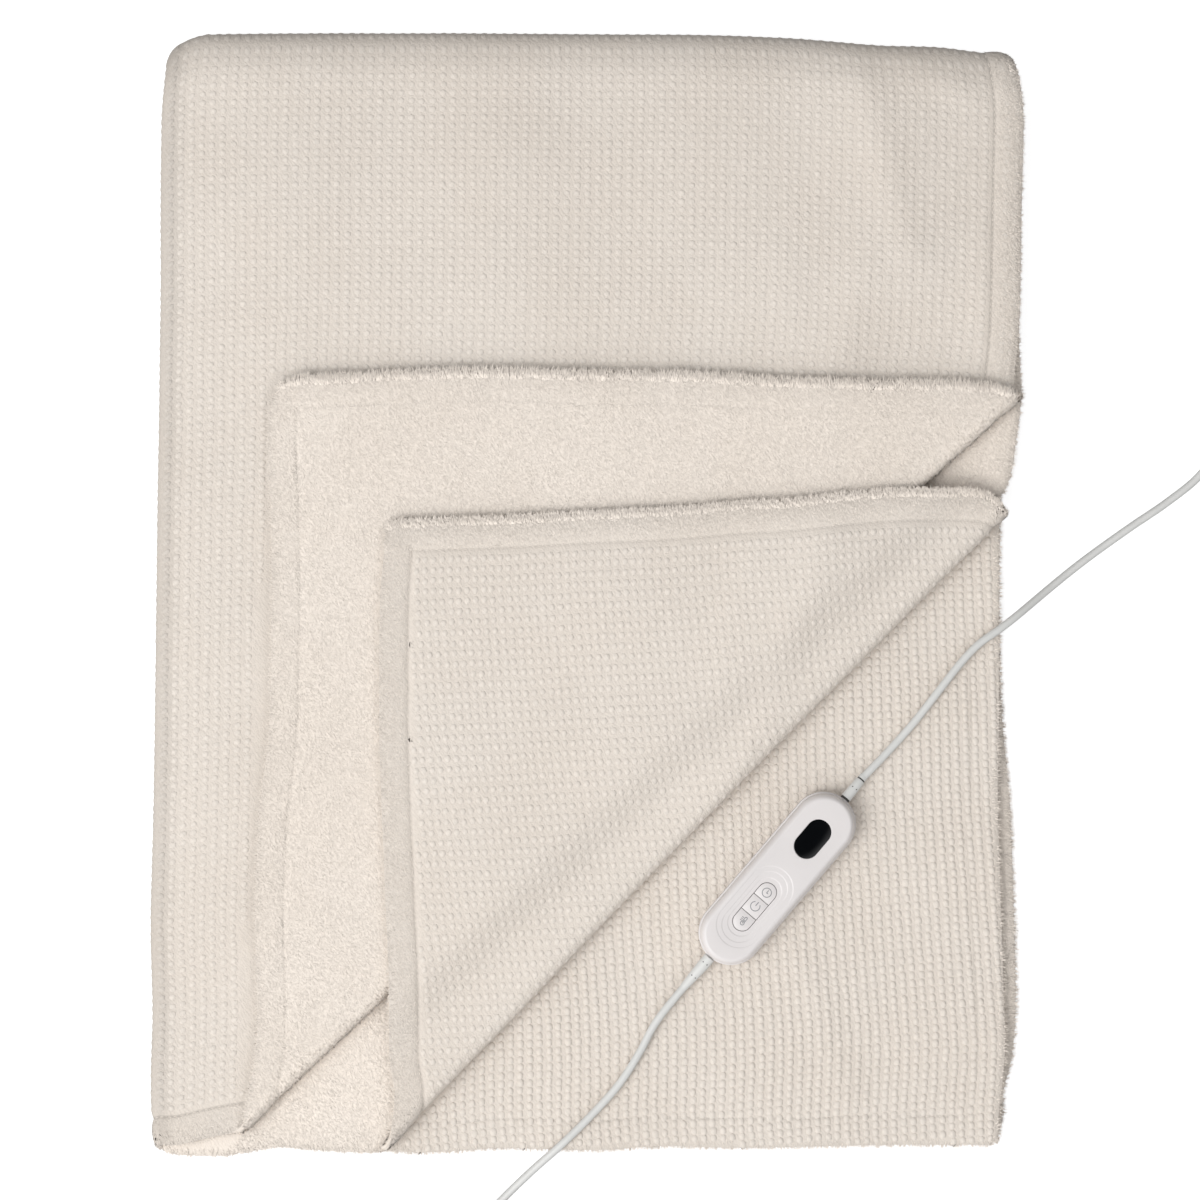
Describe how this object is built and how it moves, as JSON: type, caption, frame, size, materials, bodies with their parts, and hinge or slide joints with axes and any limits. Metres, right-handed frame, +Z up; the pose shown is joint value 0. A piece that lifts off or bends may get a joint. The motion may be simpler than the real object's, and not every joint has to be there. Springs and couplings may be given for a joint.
{
  "type": "electric heated blanket",
  "caption": "Double-faced fleece heated blanket, folded in quarters with two corners turned back, with a hand controller lying on it, its blanket lead and a coiled mains lead with plug.",
  "frame": {"origin": "on the surface that the folded blanket rests on, under the middle of the folded cloth and its controller", "axes": "+Z up, +Y from the free bottom edges to the top fold, +X from the left fold to the free right edges"},
  "size_m": [0.7708, 0.9295, 0.0493],
  "materials": {
    "cream_fleece": "soft pile, raised nubs on one face and sherpa on the other",
    "white_shell": "satin moulded plastic",
    "white_cord": "satin soft plastic",
    "black_display": "glossy black window",
    "pin_metal": "nickel-plated"
  },
  "bodies": {
    "blanket": {"blanket": "cream_fleece", "controller_lower_shell": "white_shell", "controller_upper_shell": "white_shell", "display_window": "black_display", "strain_relief_upper": "white_cord", "strain_relief_lower": "white_cord", "lead_blanket_side": "white_cord", "connector": "white_cord", "connector_pin_a": "pin_metal", "connector_pin_b": "pin_metal", "lead_mains": "white_cord", "mains_coil": "white_cord", "coil_tie": "white_cord", "lead_plug_end": "white_cord", "plug_body": "white_cord", "plug_pin_a": "pin_metal", "plug_pin_b": "pin_metal"},
    "key_timer": {"key_timer": "white_shell"},
    "key_power": {"key_power": "white_shell"},
    "key_heat": {"key_heat": "white_shell"}
  },
  "joints": [
    {"name": "timer_press", "type": "slide", "parent": "blanket", "child": "key_timer", "axis": [0, 0, -1], "range_m": [0, 0.0008], "stiffness_N_per_m": 600, "springref_m": -0.0006},
    {"name": "power_press", "type": "slide", "parent": "blanket", "child": "key_power", "axis": [0, 0, -1], "range_m": [0, 0.0008], "stiffness_N_per_m": 600, "springref_m": -0.0006},
    {"name": "heat_press", "type": "slide", "parent": "blanket", "child": "key_heat", "axis": [0, 0, -1], "range_m": [0, 0.0008], "stiffness_N_per_m": 600, "springref_m": -0.0006}
  ]
}
